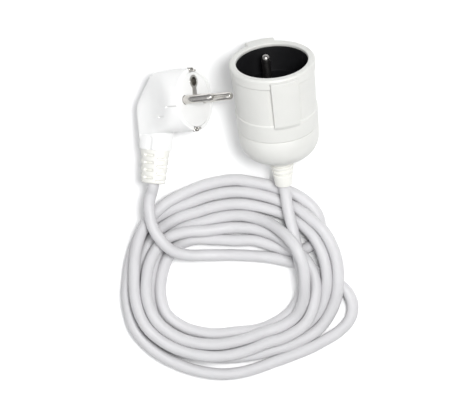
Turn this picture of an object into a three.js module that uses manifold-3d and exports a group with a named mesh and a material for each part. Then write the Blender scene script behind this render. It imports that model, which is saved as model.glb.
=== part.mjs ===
// Household extension cord: a moulded right-angle plug, a round trailing socket with a male
// earth pin, and about two metres of round flex laid in a loose oval coil between them.
// Millimetres, +Z up, floor at z = 0. The origin is on the floor under the middle of the socket.

import * as THREE from 'three';
import { mergeVertices } from 'three/addons/utils/BufferGeometryUtils.js';
import Module from 'manifold-3d';

const wasm = await Module();
wasm.setup();

// ---------------------------------------------------------------- driving dimensions

const gap = 0.3;                // clearance between touching pieces
const cordDiameter = 6.5;       // 3-core round flex
const cordRadius = cordDiameter / 2;
const coreRadius = 1.2;         // one insulated core
const pinRadius = 2.4;          // 4.8 mm contact and earth pins
const pinHalfSpacing = 9.5;     // contact pins stand 19 mm apart
const earthOffset = 10;         // earth pin and earth hole, from the line of the contacts

// trailing socket, on its own axis: mouth rim at 0, rear towards -Z
const socketLength = 59.5;
const barrelLength = 40;
const rimRadius = 23.7;
const panelRadius = 22.5;       // sunk grip panels between the two ribs
const panelEnd = -29.5;
const bodyRadius = 23.1;        // below the panels
const rearRadius = 22.3;
const ribRadius = 26;           // at the rim
const ribFootRadius = 24.2;
const ribHalfAngle = 18;        // degrees
const ribMiddles = [84.5, 264.5];
const barrelBore = 20.8;
const rearFillet = 12;
const shellWall = 2.6;
const recessRadius = 19.8;
const recessDepth = 17;
const carrierFloor = 2.5;
const shutterThickness = 1.6;
const shutterHalfAngle = 19;    // degrees, half of one wing
const baseThickness = 3;
const pivotRadius = 1.5;
const gripTop = -49;
const gripThickness = 4.5;
const screwRadius = 1.5;
const screwOffset = 6.3;
const socketReliefLength = 18.8;

// right-angle plug: pins along +X, cord towards -Y, pins side by side along Z
const faceRadius = 17.7;
const plugDepth = 35;
const ridgeHalfWidth = 6.4;     // half thickness of the narrow back
const neckHalfWidth = 7.5;
const insertRadius = 15.2;
const insertDepth = 6;
const earthBoreRadius = 2.45;
const earthTubeRadius = 2.95;
const strapWidth = 9;
const pinLength = 19;
const neckAxis = 27.6;          // neck axis behind the face
const neckLean = 11.5;          // degrees, the neck leans back from the face
const neckEnd = 25.5;           // end of the smooth neck below the pins' line
const plugReliefLength = 19;

// how the pieces lie on the floor
const socketPlace = new THREE.Vector3(-0.1, 33.6, 38.3);
const socketRise = 20.5;        // degrees, mouth above horizontal
const socketRoll = 30;
const socketYaw = 1.7;
const plugPlace = new THREE.Vector3(-46.5, 8, 21.2);
const plugRise = 22.8;          // degrees, pins above horizontal
const plugRoll = -9.5;
const plugYaw = 11;
const coilPlace = new THREE.Vector3(-27.4, -95.6, 0);
const coilHeight = 13;          // two layers of flex
const coilFarHeight = 6.6;      // one layer where the two leads cross over
const coilStep = 14;            // the single layer lies beyond this line
const coilBevel = 1;

// ---------------------------------------------------------------- materials

function finish(color, roughness, metalness = 0) {
  return new THREE.MeshStandardMaterial({ color, roughness, metalness });
}

const whiteShell = () => finish(0xf1f2ee, 0.42);
const whitePlug = () => finish(0xf8f8f6, 0.38);
const creamFlex = () => finish(0xeeece4, 0.5);
const greyFlex = () => finish(0xe3e1e4, 0.48);
const blackInsert = () => finish(0x1b1b1d, 0.45);
const whiteInsert = () => finish(0xefede4, 0.5);
const nickel = () => finish(0xc9c8c4, 0.25, 1);
const brass = () => finish(0xc9a455, 0.35, 1);
const steel = () => finish(0xa9abad, 0.35, 1);
const brownCore = () => finish(0x6b3d22, 0.5);
const blueCore = () => finish(0x2a62b0, 0.5);
const earthCore = () => finish(0x7fae2e, 0.5);

// ---------------------------------------------------------------- geometry helpers

const radians = THREE.MathUtils.degToRad;

function solidOf(geometry) {
  const bare = geometry.clone();
  bare.deleteAttribute('normal');
  bare.deleteAttribute('uv');
  const merged = mergeVertices(bare, 1e-4);
  return new wasm.Manifold(new wasm.Mesh({
    numProp: 3,
    vertProperties: new Float32Array(merged.attributes.position.array),
    triVerts: new Uint32Array(merged.index.array),
  }));
}

function geometryOf(solid) {
  const mesh = solid.getMesh();
  const geometry = new THREE.BufferGeometry();
  geometry.setAttribute('position', new THREE.BufferAttribute(mesh.vertProperties, mesh.numProp));
  geometry.setIndex(new THREE.BufferAttribute(mesh.triVerts, 1));
  geometry.computeVertexNormals();
  return geometry;
}

function cut(geometry, ...tools) {
  let solid = solidOf(geometry);
  for (const tool of tools) {
    solid = solid.subtract(solidOf(tool));
  }
  return geometryOf(solid);
}

function join(geometry, ...others) {
  let solid = solidOf(geometry);
  for (const other of others) {
    solid = solid.add(solidOf(other));
  }
  return geometryOf(solid);
}

function common(geometry, ...others) {
  let solid = solidOf(geometry);
  for (const other of others) {
    solid = solid.intersect(solidOf(other));
  }
  return geometryOf(solid);
}

// solid of revolution about Z from [radius, z] pairs, in either order round the section
function turned(profile, segments = 48) {
  const points = profile.map(([radius, z]) => new THREE.Vector2(radius, z));
  if (THREE.ShapeUtils.area(points) < 0) {
    points.reverse();
  }
  const rising = new THREE.LatheGeometry(points, segments);
  return rising.rotateX(Math.PI / 2);
}

// disc or rod on the Z axis between two heights
function rod(radius, low, high, segments = 24) {
  const geometry = new THREE.CylinderGeometry(radius, radius, high - low, segments);
  return geometry.rotateX(Math.PI / 2).translate(0, 0, (low + high) / 2);
}

function sleeve(inner, outer, low, high, segments = 32) {
  return turned([[inner, low], [outer, low], [outer, high], [inner, high], [inner, low]], segments);
}

// sector of a ring about Z, centred on the angle middle (degrees)
function sector(inner, outer, middle, halfAngle, low, high) {
  const start = radians(middle - halfAngle);
  const end = radians(middle + halfAngle);
  const shape = new THREE.Shape();
  shape.absarc(0, 0, outer, start, end, false);
  shape.absarc(0, 0, inner, end, start, true);
  shape.closePath();
  const geometry = new THREE.ExtrudeGeometry(shape, {
    depth: high - low, bevelEnabled: false, curveSegments: 8,
  });
  return geometry.translate(0, 0, low);
}

function box(low, high) {
  const size = high.map((value, axis) => value - low[axis]);
  const middle = high.map((value, axis) => (value + low[axis]) / 2);
  return new THREE.BoxGeometry(...size).translate(...middle);
}

function outlineShape(points) {
  return new THREE.Shape(points.map(([x, y]) => new THREE.Vector2(x, y)));
}

// round tube along a smooth route of points
function tube(route, radius, steps, sides = 10) {
  const section = new THREE.Shape();
  section.absarc(0, 0, radius, 0, 2 * Math.PI, false);
  const curve = new THREE.CatmullRomCurve3(route.map((point) => new THREE.Vector3(...point)));
  return new THREE.ExtrudeGeometry(section, {
    steps, bevelEnabled: false, curveSegments: sides / 2, extrudePath: curve,
  });
}

function piece(name, geometry, material) {
  const mesh = new THREE.Mesh(geometry, material);
  mesh.name = name;
  return mesh;
}

// ---------------------------------------------------------------- trailing socket

function socketBarrel() {
  const wall = turned([
    [barrelBore, -barrelLength], [rearRadius, -barrelLength], [bodyRadius, panelEnd - 0.6],
    [panelRadius, panelEnd], [panelRadius, -6.5], [rimRadius, -5.5], [rimRadius, -0.8],
    [rimRadius - 0.8, 0],
    [barrelBore + 0.6, 0], [barrelBore, -0.8], [barrelBore, -barrelLength],
  ], 48);
  const ribFoot = panelEnd - 2;
  const ribRing = turned([
    [barrelBore + 0.5, ribFoot], [bodyRadius - 0.4, ribFoot], [ribFootRadius, panelEnd],
    [ribRadius, -1.8], [ribRadius - 0.6, -1.2], [barrelBore + 0.5, -1.2],
    [barrelBore + 0.5, ribFoot],
  ], 96);
  const ribs = ribMiddles.map((middle) => {
    const wedge = sector(barrelBore + 0.2, ribRadius + 1, middle, ribHalfAngle, ribFoot - 1, 0);
    return common(ribRing, wedge);
  });
  return piece('socket_barrel', join(wall, ...ribs), whiteShell());
}

function socketRearCover() {
  const front = -barrelLength - gap;
  const arcCentre = [rearRadius - rearFillet, -socketLength + rearFillet];
  const filletSteps = 5;
  const profile = [[rearRadius - shellWall, front], [rearRadius, front]];
  for (let step = 0; step <= filletSteps; step += 1) {
    const angle = -step * Math.PI / 2 / filletSteps;
    profile.push([
      arcCentre[0] + rearFillet * Math.cos(angle), arcCentre[1] + rearFillet * Math.sin(angle),
    ]);
  }
  profile.push([4.2, -socketLength], [4.2, -socketLength + shellWall]);
  for (let step = filletSteps; step >= 1; step -= 1) {
    const angle = -step * Math.PI / 2 / filletSteps;
    const radius = rearFillet - shellWall;
    profile.push([arcCentre[0] + radius * Math.cos(angle), arcCentre[1] + radius * Math.sin(angle)]);
  }
  profile.push([rearRadius - shellWall, front]);
  return piece('socket_rear_cover', turned(profile, 36), whiteShell());
}

function contactCarrier() {
  const under = -recessDepth - carrierFloor;
  const cup = turned([
    [0, under], [barrelBore - gap, under], [barrelBore - gap, -1.4], [recessRadius, -1.4],
    [recessRadius, -recessDepth], [0, -recessDepth],
  ], 48);
  const holes = [-1, 1].map((side) => {
    return rod(pinRadius + 0.4, under - 1, -recessDepth + 1).translate(side * pinHalfSpacing, 0, 0);
  });
  const earthHole = rod(pinRadius + gap, under - 1, -recessDepth + 1).translate(0, earthOffset, 0);
  const pivotHole = rod(pivotRadius + gap, under - 1, under + 1.2);
  return piece('contact_carrier', cut(cup, ...holes, earthHole, pivotHole), blackInsert());
}

function earthPin() {
  const rounded = turned([
    [0, -36], [pinRadius, -36], [pinRadius, -4.2], [2.1, -2.7], [1.3, -1.7], [0, -1.3],
  ], 24);
  return piece('earth_pin', rounded.translate(0, earthOffset, 0), nickel());
}

// layers behind the recess floor
const shutterTop = -recessDepth - carrierFloor - gap;
const baseTop = shutterTop - shutterThickness - gap;
const contactTop = baseTop - baseThickness - gap;

function shutterRotor() {
  const hub = sleeve(pivotRadius + gap, 4, shutterTop - shutterThickness, shutterTop, 24);
  const wings = [0, 180].map((middle) => {
    const low = shutterTop - shutterThickness;
    return sector(3.6, 13.2, middle, shutterHalfAngle, low, shutterTop);
  });
  return piece('shutter_rotor', join(hub, ...wings), whiteInsert());
}

function shutterPivot() {
  const head = shutterTop + 1;
  const foot = baseTop - baseThickness;
  return piece('shutter_pivot', turned([
    [0, foot], [pivotRadius, foot], [pivotRadius, head], [0, head],
  ], 20), steel());
}

function shutterSpring() {
  const turns = 2.5;
  const stations = 24;
  const route = [];
  for (let step = 0; step <= stations; step += 1) {
    const part = step / stations;
    const angle = 2 * Math.PI * turns * part;
    route.push([2.6 * Math.cos(angle), 2.6 * Math.sin(angle), baseTop - 2.6 + 2.2 * part]);
  }
  return piece('shutter_spring', tube(route, 0.3, 36, 6), steel());
}

function contactBase() {
  const disc = rod(barrelBore - gap, baseTop - baseThickness, baseTop, 48);
  const pocket = rod(3.6, baseTop - baseThickness - 1, baseTop + 1);
  const bores = [-1, 1].map((side) => {
    return rod(3.1, contactTop - 1, baseTop + 1).translate(side * pinHalfSpacing, 0, 0);
  });
  const earthBore = rod(pinRadius + gap, contactTop - 1, baseTop + 1).translate(0, earthOffset, 0);
  return piece('contact_base', cut(disc, pocket, ...bores, earthBore), whiteInsert());
}

// slit sleeve that grips one plug pin, with the slit on its outer side
function contactSleeve(name, side) {
  const low = contactTop - 12;
  const slit = box([2, -0.6, low - 1], [5, 0.6, contactTop + 1]);
  const grip = cut(sleeve(pinRadius + 0.1, 3.4, low, contactTop, 24), slit);
  grip.rotateZ(side > 0 ? 0 : Math.PI);
  return piece(name, grip.translate(side * pinHalfSpacing, 0, 0), brass());
}

function earthStrap() {
  const low = contactTop - 9;
  const plate = box([-4, -3, low], [4, 14.5, low + 1.2]);
  const hole = rod(pinRadius + gap, low - 1, low + 2.2).translate(0, earthOffset, 0);
  return piece('earth_strap', cut(plate, hole), brass());
}

// one insulated core from its terminal to the mouth of the cord grip
function socketCore(name, start, bend, material) {
  const [bendX, bendY] = bend;
  const route = [
    start, bend, [bendX * 0.4, bendY * 0.4, gripTop + 5], [bendX * 0.25, bendY * 0.25, gripTop + 1],
  ];
  return piece(name, tube(route, coreRadius, 10, 8), material);
}

function cordGrip() {
  const foot = gripTop - gripThickness;
  const body = box([-9, -4.5, foot], [9, 4.5, gripTop]);
  const bore = rod(2.9, foot - 1, gripTop + 1);
  const screwHoles = [-1, 1].map((side) => {
    return rod(screwRadius + gap, foot - 1, gripTop + 1, 16).translate(side * screwOffset, 0, 0);
  });
  return piece('cord_grip', cut(body, bore, ...screwHoles), whiteInsert());
}

function gripScrew(name, side) {
  const foot = gripTop - gripThickness + gap;
  const seat = gripTop + gap;
  return piece(name, turned([
    [0, foot], [screwRadius, foot], [screwRadius, seat], [2.4, seat], [2.4, seat + 1.5],
    [0, seat + 1.5],
  ], 16).translate(side * screwOffset, 0, 0), steel());
}

function socketRelief() {
  const start = -socketLength - gap;
  const end = start - socketReliefLength;
  const profile = [[0, start], [7.6, start]];
  for (let groove = 0; groove < 4; groove += 1) {
    const top = start - 1.8 - groove * 3.2;
    const radius = 7.3 - groove * 0.5;
    const floor = radius - 1;
    profile.push([radius, top], [floor, top - 0.4], [floor, top - 1.2], [radius - 0.2, top - 1.6]);
  }
  profile.push([5.2, end + 3.4], [5, end + 0.6], [4.5, end], [0, end]);
  return piece('socket_strain_relief', turned(profile, 20), creamFlex());
}

function buildSocket() {
  const earthLow = contactTop - 9 - 3 * gap;
  const axis = new THREE.Group();
  axis.rotation.z = radians(socketRoll);
  axis.add(
    socketBarrel(), socketRearCover(), contactCarrier(), earthPin(), shutterRotor(),
    shutterPivot(), shutterSpring(), contactBase(),
    contactSleeve('live_contact', 1), contactSleeve('neutral_contact', -1), earthStrap(),
    socketCore('core_live', [9.5, 0, contactTop - 12 - 3 * gap], [6.5, -1, -41.5], brownCore()),
    socketCore('core_neutral', [-9.5, 0, contactTop - 12 - 3 * gap], [-6.5, -1, -41.5], blueCore()),
    socketCore('core_earth', [0, 3.5, earthLow], [0, 6, -40], earthCore()),
    cordGrip(), gripScrew('grip_screw_left', -1), gripScrew('grip_screw_right', 1),
    socketRelief(),
  );
  const laid = new THREE.Group();
  laid.rotation.x = -radians(90 - socketRise);
  laid.add(axis);
  const socket = new THREE.Group();
  socket.rotation.z = radians(socketYaw);
  socket.position.copy(socketPlace);
  socket.add(laid);
  return socket;
}

// ---------------------------------------------------------------- right-angle plug

// a point on the neck's axis, this far down from the line of the pins
function neckPoint(down) {
  return [-neckAxis - (down - 14) * Math.tan(radians(neckLean)), -down];
}

function plugShape() {
  const [neckX, neckY] = neckPoint(neckEnd);
  const across = 8 * Math.cos(radians(neckLean));
  const drop = 8 * Math.sin(radians(neckLean));
  const side = outlineShape([
    [0, faceRadius - 0.5], [-1, faceRadius], [-21, 17.2], [-26, 13.2], [-30, 7], [-plugDepth, 1.5],
    [neckX - across, neckY + drop], [neckX + across, neckY - drop], [-19, -16.8], [-10, -17.3],
    [0, -faceRadius],
  ]);
  const profile = new THREE.ExtrudeGeometry(side, { depth: 2 * faceRadius, bevelEnabled: false });
  profile.translate(0, 0, -faceRadius);
  const plan = outlineShape([
    [1, -faceRadius], [1, faceRadius], [-4, faceRadius - 0.2], [-9, 16.4], [-20, 10.8],
    [-27, neckHalfWidth + 0.6], [-plugDepth - 4, ridgeHalfWidth],
    [-plugDepth - 4, -ridgeHalfWidth], [-27, -neckHalfWidth - 0.6], [-20, -10.8], [-9, -16.4],
    [-4, -faceRadius + 0.2],
  ]);
  const thickness = new THREE.ExtrudeGeometry(plan, { depth: 60, bevelEnabled: false });
  thickness.rotateX(Math.PI / 2).translate(0, 30, 0);
  const face = rod(faceRadius, -60, 2, 48).rotateY(Math.PI / 2);
  const neck = box([-60, -60, -neckHalfWidth], [-14, 0, neckHalfWidth]);
  return common(profile, thickness, join(face, neck));
}

function plugBody() {
  const pocketFloor = -insertDepth - 2.2;
  const slotHalfWidth = strapWidth / 2 + gap;
  const pocket = rod(insertRadius + gap, pocketFloor, 2, 48).rotateY(Math.PI / 2);
  const clipSlot = box([pocketFloor, -30, -slotHalfWidth], [2, 30, slotHalfWidth]);
  const wireRoom = box([-27, -15, -5], [-5, 4, 5]);
  const pinRoom = box([-13, -4, -13], [-5, 4, 13]);
  const earthRoom = rod(3.7, -20, 0).rotateY(Math.PI / 2).translate(0, earthOffset, 0);
  const hollow = cut(plugShape(), pocket, clipSlot, wireRoom, pinRoom, earthRoom);
  return piece('plug_body', hollow, whitePlug());
}

function plugInsert() {
  const disc = rod(insertRadius, -insertDepth, 0, 48).rotateY(Math.PI / 2);
  const pinHoles = [-1, 1].map((side) => {
    const hole = rod(pinRadius + gap, -insertDepth - 1, 1).rotateY(Math.PI / 2);
    return hole.translate(0, 0, side * pinHalfSpacing);
  });
  const earthHole = rod(earthTubeRadius + gap, -insertDepth - 1, 1).rotateY(Math.PI / 2);
  earthHole.translate(0, earthOffset, 0);
  return piece('plug_face_insert', cut(disc, ...pinHoles, earthHole), whiteInsert());
}

function plugPin(name, side) {
  const pin = turned([
    [0, -11], [pinRadius, -11], [pinRadius, pinLength - 1.8], [1.9, pinLength - 0.6],
    [1, pinLength], [0, pinLength],
  ], 24);
  return piece(name, pin.rotateY(Math.PI / 2).translate(0, 0, side * pinHalfSpacing), nickel());
}

function plugEarthSocket() {
  const bore = sleeve(earthBoreRadius, earthTubeRadius, -18.5, -0.4, 24);
  return piece('plug_earth_socket', bore.rotateY(Math.PI / 2).translate(0, earthOffset, 0), nickel());
}

// one bent strip: a bridge behind the insert and a contact at the top and bottom of the face
function plugEarthStrap() {
  const back = -insertDepth - gap - 0.9;
  const arm = faceRadius - 1;
  const outline = outlineShape([
    [back, -arm - 0.8], [0.6, -arm - 0.8], [0.6, -arm], [back + 0.9, -arm],
    [back + 0.9, arm], [0.6, arm], [0.6, arm + 0.8], [back, arm + 0.8],
  ]);
  const strip = new THREE.ExtrudeGeometry(outline, { depth: strapWidth, bevelEnabled: false });
  strip.translate(0, 0, -strapWidth / 2);
  const hole = rod(earthTubeRadius + gap, -20, 0).rotateY(Math.PI / 2).translate(0, earthOffset, 0);
  return piece('plug_earth_strap', cut(strip, hole), nickel());
}

function plugCore(name, route, material) {
  return piece(name, tube(route, coreRadius, 8, 8), material);
}

function plugRelief() {
  const [neckX, neckY] = neckPoint(neckEnd);
  const outline = [[0, -gap], [8, -gap]];
  for (let groove = 0; groove < 4; groove += 1) {
    const top = -2.2 - groove * 3.9;
    const radius = 8 - groove * 0.2;
    const floor = radius - 1;
    outline.push([radius, top], [floor, top - 0.3], [floor, top - 1.5], [radius, top - 1.8]);
  }
  outline.push([7.2, -plugReliefLength + 0.8], [6.4, -plugReliefLength], [0, -plugReliefLength]);
  const relief = turned(outline, 20).scale(1, 0.82, 1).rotateX(-Math.PI / 2);
  relief.rotateZ(-radians(neckLean)).translate(neckX, neckY, 0);
  return piece('plug_strain_relief', relief, creamFlex());
}

function buildPlug() {
  const rolled = new THREE.Group();
  rolled.rotation.x = radians(plugRoll);
  rolled.add(
    plugBody(), plugInsert(), plugPin('plug_pin_live', 1), plugPin('plug_pin_neutral', -1),
    plugEarthSocket(), plugEarthStrap(), plugRelief(),
    plugCore('plug_core_live', [
      [-12.5, -3.8, 0.8], [-17, -6, 1.8], [-22, -9, 2.6], [-25, -13, 2.6],
    ], brownCore()),
    plugCore('plug_core_neutral', [
      [-12.5, -3.8, -2.4], [-17, -6, -2.6], [-22, -9, -2.7], [-25, -13, -2.7],
    ], blueCore()),
    plugCore('plug_core_earth', [
      [-8.8, 2, 0], [-13, 0, 0], [-19, -3, 0], [-24.5, -7.5, 0],
    ], earthCore()),
  );
  const raised = new THREE.Group();
  raised.rotation.y = -radians(plugRise);
  raised.add(rolled);
  const plug = new THREE.Group();
  plug.rotation.z = radians(plugYaw);
  plug.position.copy(plugPlace);
  plug.add(raised);
  return plug;
}

// ---------------------------------------------------------------- flex

// outline of the coil seen from above, measured from its middle
const coilOutside = [
  [-64, 0], [-60, 22], [-48, 40], [-22, 54], [6, 58.5], [30, 53], [48, 40.5], [60, 24],
  [65, 2], [70.5, -14], [56, -33], [32, -47.5], [2, -58], [-26, -56.5], [-51, -44], [-62, -24],
];
const coilInside = [
  [-39, -6], [-37, 8], [-26, 16.5], [-4, 17.3], [20, 16.5], [34, 9], [38, -4], [29, -18],
  [10, -25], [-12, -25.5], [-31, -18],
];

function smoothOutline(points, count) {
  const curve = new THREE.CatmullRomCurve3(points.map(([x, y]) => new THREE.Vector3(x, y, 0)), true);
  return curve.getPoints(count).slice(0, count).map((point) => new THREE.Vector2(point.x, point.y));
}

// grow widens the solid on every side, for cutting the leads back to a clear gap
function coilSolid(grow = 0) {
  const shape = new THREE.Shape(smoothOutline(coilOutside, 56));
  shape.holes.push(new THREE.Path(smoothOutline(coilInside, 40).reverse()));
  const ring = new THREE.ExtrudeGeometry(shape, {
    depth: coilHeight - 2 * coilBevel + 2 * grow,
    bevelEnabled: true,
    bevelThickness: coilBevel,
    bevelSize: coilBevel,
    bevelOffset: grow - coilBevel,
    bevelSegments: 1,
  });
  ring.translate(0, 0, coilBevel - grow);
  const step = box([-90, coilStep + grow, coilFarHeight + grow], [90, 90, 60]);
  return cut(ring, step);
}

// lead from the socket, over the single layer and down against the inside of the coil
const socketLead = [
  [2.1, -40.5, 10.6], [2.2, -42.1, 10.1], [2.8, -45.4, 10.1], [3.5, -48.6, 10.2], [4.2, -53.2, 10.3],
  [5.3, -58.8, 10.3], [7, -66.2, 10.3], [9.1, -73.4, 10.4], [11.1, -80.2, 10.2], [13.2, -88, 8.6],
  [17.1, -96.5, 7.4],
];

// lead from the plug, over the single layer, then along the floor inside the coil
const plugLead = [
  [-71.5, -41.9, 14.9], [-71.7, -43.7, 14.8], [-73, -47, 13.2], [-74.1, -51.4, 11.7], [-74, -56.5, 10.9],
  [-71.9, -65.8, 10.4], [-67.3, -73.1, 10.3], [-61.2, -79.3, 10], [-52.6, -82.5, 8.2],
  [-41.7, -82.9, 5.4], [-30.5, -82.8, 3.7], [-16.3, -82.7, 3.4], [-4.9, -83.2, 3.4],
  [3.6, -84.6, 3.4], [11, -86.7, 3.4],
];

function lead(name, route, steps) {
  const clear = coilSolid(gap).translate(coilPlace.x, coilPlace.y, coilPlace.z);
  return piece(name, cut(tube(route, cordRadius, steps, 10), clear), greyFlex());
}

function buildCord() {
  const coil = piece('cord_coil', coilSolid(), greyFlex());
  coil.position.copy(coilPlace);
  const cord = new THREE.Group();
  cord.add(coil, lead('cord_socket_lead', socketLead, 10), lead('cord_plug_lead', plugLead, 14));
  return cord;
}

// ---------------------------------------------------------------- assembly

const group = new THREE.Group();
group.add(buildSocket(), buildPlug(), buildCord());

export default group;
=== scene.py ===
"""Household extension cord laid on a pale floor: a right-angle plug, a round trailing socket with a
male earth pin, and about two metres of round flex in a loose oval coil between them.

Shapes are written in millimetres in each part's own axes and placed in the frame in metres."""
import math

import bmesh
import bpy
import numpy as np
from mathutils import Matrix, Vector


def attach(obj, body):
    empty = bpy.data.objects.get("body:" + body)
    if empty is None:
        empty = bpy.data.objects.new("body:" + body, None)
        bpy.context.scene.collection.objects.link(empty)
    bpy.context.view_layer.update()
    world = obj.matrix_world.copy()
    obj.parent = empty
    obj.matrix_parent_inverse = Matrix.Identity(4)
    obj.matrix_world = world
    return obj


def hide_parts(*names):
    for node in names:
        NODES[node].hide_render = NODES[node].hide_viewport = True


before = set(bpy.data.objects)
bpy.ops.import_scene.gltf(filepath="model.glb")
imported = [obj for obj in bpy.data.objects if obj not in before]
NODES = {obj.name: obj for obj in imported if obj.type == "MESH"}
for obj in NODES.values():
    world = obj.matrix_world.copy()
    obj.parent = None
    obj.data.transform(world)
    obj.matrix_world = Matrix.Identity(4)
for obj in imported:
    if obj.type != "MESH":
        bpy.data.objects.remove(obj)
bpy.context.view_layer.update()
BODY = "cord_set"
MM = 0.001

# ---------------------------------------------------------------- places and driving dimensions, mm

SOCKET_PLACE = (-0.1, 33.6, 38.3)
SOCKET_YAW, SOCKET_RISE, SOCKET_ROLL = 1.7, 20.5, 30
PLUG_PLACE = (-46.5, 8.0, 21.2)
PLUG_YAW, PLUG_RISE, PLUG_ROLL = 11, 22.8, -9.5

CORD_DIAMETER = 6.5
CORD_RADIUS = CORD_DIAMETER / 2
PIN_RADIUS = 2.4
PIN_SPACING = 9.5       # of each contact pin from the middle
EARTH_OFFSET = 10


def turn(axis, degrees):
    return Matrix.Rotation(math.radians(degrees), 4, axis)


METRES = Matrix.Scale(MM, 4)
SOCKET = (METRES @ Matrix.Translation(SOCKET_PLACE) @ turn("Z", SOCKET_YAW)
          @ turn("X", SOCKET_RISE - 90) @ turn("Z", SOCKET_ROLL))
PLUG = (METRES @ Matrix.Translation(PLUG_PLACE) @ turn("Z", PLUG_YAW)
        @ turn("Y", -PLUG_RISE) @ turn("X", PLUG_ROLL))
PLUG_AXIS = PLUG @ turn("Y", 90)     # turned pieces of the plug: their own Z runs along the pins

# ---------------------------------------------------------------- camera and light

AIM = Vector((-28.9, -52.0, 0)) * MM
CAMERA_BACK = Vector((0.174, 0.171, 0.970)).normalized()
CAMERA_RIGHT = Vector((0.984, 0, -0.176)).normalized()
CAMERA_DISTANCE = 3.0
PICTURE_WIDTH = 0.263    # of the floor, across the picture
SENSOR = 36
# the studio's light comes from overhead and fades to this share at the horizon
HORIZON_SHARE = 0.12
HORIZON_HEIGHT, DOME_HEIGHT = 0.05, 0.6     # Z of the directions between which it fades


def add_object(name, data):
    obj = bpy.data.objects.new(name, data)
    bpy.context.scene.collection.objects.link(obj)
    return obj


def add_camera():
    data = bpy.data.cameras.new("camera")
    data.sensor_width = SENSOR
    data.lens = SENSOR * CAMERA_DISTANCE / PICTURE_WIDTH
    camera = add_object("camera", data)
    up = CAMERA_BACK.cross(CAMERA_RIGHT)
    axes = Matrix((CAMERA_RIGHT, up, CAMERA_BACK)).transposed()
    camera.matrix_world = Matrix.Translation(AIM + CAMERA_BACK * CAMERA_DISTANCE) @ axes.to_4x4()
    bpy.context.scene.camera = camera


def add_light(name, place, size, watts):
    data = bpy.data.lights.new(name, "AREA")
    data.shape = "DISK"
    data.size = size
    data.energy = watts
    light = add_object(name, data)
    light.location = place
    light.rotation_euler = (AIM - Vector(place)).to_track_quat("-Z", "Y").to_euler()


def add_world(strength):
    """A pale studio dome: bright overhead and darker towards the horizon."""
    world = bpy.data.worlds.new("studio")
    world.use_nodes = True
    tree = world.node_tree
    background = tree.nodes["Background"]
    background.inputs["Color"].default_value = (0.97, 0.98, 1.0, 1)
    direction = tree.nodes.new("ShaderNodeTexCoord")
    height = tree.nodes.new("ShaderNodeSeparateXYZ")
    level = tree.nodes.new("ShaderNodeMapRange")
    level.interpolation_type = "SMOOTHSTEP"
    level.inputs["From Min"].default_value = HORIZON_HEIGHT
    level.inputs["From Max"].default_value = DOME_HEIGHT
    level.inputs["To Min"].default_value = HORIZON_SHARE * strength
    level.inputs["To Max"].default_value = strength
    tree.links.new(direction.outputs["Generated"], height.inputs["Vector"])
    tree.links.new(height.outputs["Z"], level.inputs["Value"])
    tree.links.new(level.outputs["Result"], background.inputs["Strength"])
    bpy.context.scene.world = world


# ---------------------------------------------------------------- materials

class Paint:
    """A Principled material, with short calls for the nodes that feed it."""

    def __init__(self, name, roughness=0.45, metallic=0.0, specular=0.5):
        self.material = bpy.data.materials.new(name)
        self.material.use_nodes = True
        self.tree = self.material.node_tree
        self.shader = self.tree.nodes["Principled BSDF"]
        self.shader.inputs["Roughness"].default_value = roughness
        self.shader.inputs["Metallic"].default_value = metallic
        self.shader.inputs["Specular IOR Level"].default_value = specular
        self.place = self.tree.nodes.new("ShaderNodeTexCoord")

    def link(self, source, target):
        self.tree.links.new(source, target)

    def coordinates(self, kind="Object", scale=(1, 1, 1)):
        mapping = self.tree.nodes.new("ShaderNodeMapping")
        mapping.inputs["Scale"].default_value = scale
        self.link(self.place.outputs[kind], mapping.inputs["Vector"])
        return mapping.outputs["Vector"]

    def noise(self, vector, scale, detail=3.0, roughness=0.5):
        node = self.tree.nodes.new("ShaderNodeTexNoise")
        node.inputs["Scale"].default_value = scale
        node.inputs["Detail"].default_value = detail
        node.inputs["Roughness"].default_value = roughness
        self.link(vector, node.inputs["Vector"])
        return node.outputs["Fac"]

    def ramp(self, value, low, high, start=0.3, end=0.7):
        node = self.tree.nodes.new("ShaderNodeMapRange")
        node.inputs["From Min"].default_value = start
        node.inputs["From Max"].default_value = end
        node.inputs["To Min"].default_value = low
        node.inputs["To Max"].default_value = high
        self.link(value, node.inputs["Value"])
        return node.outputs["Result"]

    def colours(self, value, first, second, start=0.35, end=0.65):
        node = self.tree.nodes.new("ShaderNodeValToRGB")
        node.color_ramp.elements[0].position = start
        node.color_ramp.elements[0].color = (*first, 1)
        node.color_ramp.elements[1].position = end
        node.color_ramp.elements[1].color = (*second, 1)
        self.link(value, node.inputs["Fac"])
        self.link(node.outputs["Color"], self.shader.inputs["Base Color"])

    def rough(self, value):
        self.link(value, self.shader.inputs["Roughness"])

    def bump(self, heights):
        """heights is a list of (value, height in metres), stacked on one another"""
        normal = None
        for value, height in heights:
            node = self.tree.nodes.new("ShaderNodeBump")
            node.inputs["Strength"].default_value = 1.0
            node.inputs["Distance"].default_value = height
            self.link(value, node.inputs["Height"])
            if normal is not None:
                self.link(normal, node.inputs["Normal"])
            normal = node.outputs["Normal"]
        self.link(normal, self.shader.inputs["Normal"])


def darker(color, share):
    return tuple(channel * share for channel in color)


def moulded(name, color, roughness=0.42, grain=1.0, mottle=0.97, specular=0.45):
    """Injection-moulded plastic: fine spark-eroded grain, faint flow clouding and handling wear."""
    paint = Paint(name, roughness, specular=specular)
    object_space = paint.coordinates()
    cloud = paint.noise(object_space, 70, detail=4)
    fine = paint.noise(object_space, 2600, detail=2)
    wave = paint.noise(object_space, 180, detail=2)
    wear = paint.noise(object_space, 420, detail=5, roughness=0.7)
    paint.colours(cloud, darker(color, mottle), color)
    paint.rough(paint.ramp(wear, roughness - 0.07, roughness + 0.1))
    paint.bump([(wave, 0.00006), (fine, 0.000012 * grain)])
    return paint.material


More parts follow.
